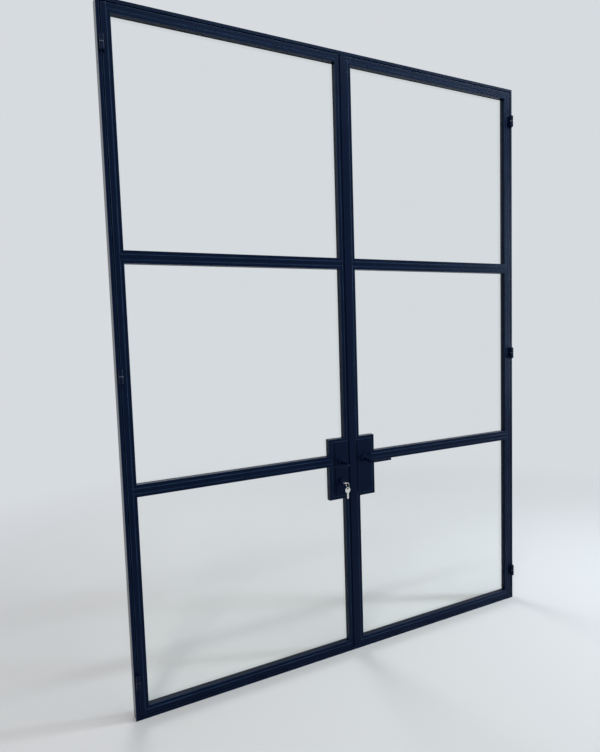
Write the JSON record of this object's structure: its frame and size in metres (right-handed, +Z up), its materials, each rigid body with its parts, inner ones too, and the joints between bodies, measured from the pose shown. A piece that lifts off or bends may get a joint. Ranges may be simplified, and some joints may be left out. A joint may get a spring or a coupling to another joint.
{
  "type": "french doors",
  "caption": "Pair of hinged steel-framed glass doors in a slim four-sided frame, divided into equal panes, with lock boxes, bar levers, a key cylinder and an astragal.",
  "frame": {"origin": "under the meeting line, halfway through the leaves' depth, at the underside of the sill", "axes": "+X along the doors to the right as seen from the hinge-barrel side, +Y from the hinge-barrel side through to the stop side, +Z up"},
  "size_m": [1.829, 0.1718, 2.438],
  "materials": {
    "near_black_paint": "satin near-black powder coat with a faint navy tint",
    "clear_glass": "clear, polished",
    "black_rubber": "matte",
    "bright_steel": "zinc-plated, lightly brushed",
    "nickel_key": "nickel-plated, bright",
    "guide_plastic": "matte black nylon"
  },
  "bodies": {
    "frame": {"frame_head": "near_black_paint", "frame_sill": "near_black_paint", "frame_left_jamb": "near_black_paint", "frame_right_jamb": "near_black_paint", "frame_seals": "black_rubber", "frame_knuckles": "near_black_paint", "hinge_pins": "bright_steel"},
    "left_leaf": {"left_hinge_stile": "near_black_paint", "left_meeting_stile": "near_black_paint", "left_top_rail": "near_black_paint", "left_bottom_rail": "near_black_paint", "left_upper_muntin": "near_black_paint", "left_lower_muntin": "near_black_paint", "left_top_pane": "clear_glass", "left_middle_pane": "clear_glass", "left_bottom_pane": "clear_glass", "left_glazing_beads": "near_black_paint", "left_gaskets": "black_rubber", "left_lock_box": "near_black_paint", "left_lock_covers": "near_black_paint", "left_roses": "near_black_paint", "left_leaf_knuckles": "near_black_paint", "astragal": "near_black_paint", "lock_case": "bright_steel", "front_cylinder": "near_black_paint", "rear_cylinder": "near_black_paint"},
    "right_leaf": {"right_hinge_stile": "near_black_paint", "right_meeting_stile": "near_black_paint", "right_top_rail": "near_black_paint", "right_bottom_rail": "near_black_paint", "right_upper_muntin": "near_black_paint", "right_lower_muntin": "near_black_paint", "right_top_pane": "clear_glass", "right_middle_pane": "clear_glass", "right_bottom_pane": "clear_glass", "right_glazing_beads": "near_black_paint", "right_gaskets": "black_rubber", "right_lock_box": "near_black_paint", "right_lock_covers": "near_black_paint", "right_roses": "near_black_paint", "right_leaf_knuckles": "near_black_paint", "strike_plate": "bright_steel", "gear_case": "bright_steel", "shoot_bolt_guides": "guide_plastic"},
    "left_lever": {"left_front_lever": "near_black_paint", "left_rear_lever": "near_black_paint", "left_spindle": "bright_steel"},
    "right_lever": {"right_front_lever": "near_black_paint", "right_rear_lever": "near_black_paint", "right_spindle": "bright_steel"},
    "latch": {"latch_bolt": "bright_steel"},
    "dead_bolt": {"dead_bolt": "bright_steel"},
    "key_plug": {"cylinder_plug": "near_black_paint", "key": "nickel_key"},
    "key_ring": {"key_ring": "nickel_key", "spare_key": "nickel_key"},
    "top_bolt": {"top_shoot_bolt": "bright_steel"},
    "bottom_bolt": {"bottom_shoot_bolt": "bright_steel"}
  },
  "joints": [
    {"name": "left_leaf_swing", "type": "hinge", "parent": "frame", "child": "left_leaf", "pos_m": [-0.9015, -0.02538, 1.219], "axis": [0, 0, -1], "range_deg": [0, 170]},
    {"name": "right_leaf_swing", "type": "hinge", "parent": "frame", "child": "right_leaf", "pos_m": [0.9015, -0.02538, 1.219], "axis": [0, 0, 1], "range_deg": [0, 170]},
    {"name": "left_lever_turn", "type": "hinge", "parent": "left_leaf", "child": "left_lever", "pos_m": [-0.0545, 0, 0.814], "axis": [0, -1, 0], "range_deg": [0, 45], "stiffness_Nm_per_rad": 1, "springref_deg": -45.84},
    {"name": "right_lever_turn", "type": "hinge", "parent": "right_leaf", "child": "right_lever", "pos_m": [0.0545, 0, 0.814], "axis": [0, 1, 0], "range_deg": [0, 45], "stiffness_Nm_per_rad": 1, "springref_deg": -45.84},
    {"name": "latch_slide", "type": "slide", "parent": "left_leaf", "child": "latch", "axis": [1, 0, 0], "range_m": [-0.0125, 0]},
    {"name": "key_turn", "type": "hinge", "parent": "left_leaf", "child": "key_plug", "pos_m": [-0.0545, -0.03, 0.736], "axis": [0, 1, 0], "range_deg": [0, 90]},
    {"name": "dead_bolt_slide", "type": "slide", "parent": "left_leaf", "child": "dead_bolt", "axis": [1, 0, 0], "range_m": [0, 0.015]},
    {"name": "key_ring_swing", "type": "hinge", "parent": "key_plug", "child": "key_ring", "pos_m": [-0.0545, -0.05577, 0.736], "axis": [0, 1, 0], "range_deg": [-40, 40]},
    {"name": "top_bolt_slide", "type": "slide", "parent": "right_leaf", "child": "top_bolt", "axis": [0, 0, 1], "range_m": [-0.0125, 0]},
    {"name": "bottom_bolt_slide", "type": "slide", "parent": "right_leaf", "child": "bottom_bolt", "axis": [0, 0, 1], "range_m": [0, 0.0125]}
  ],
  "couplings": [
    {"joint": "left_lever_turn", "follows": "latch_slide", "rad_per_m": -62.8},
    {"joint": "key_turn", "follows": "dead_bolt_slide", "rad_per_m": 104.7},
    {"joint": "right_lever_turn", "follows": "top_bolt_slide", "rad_per_m": -62.8},
    {"joint": "bottom_bolt_slide", "follows": "top_bolt_slide", "ratio": -1}
  ]
}
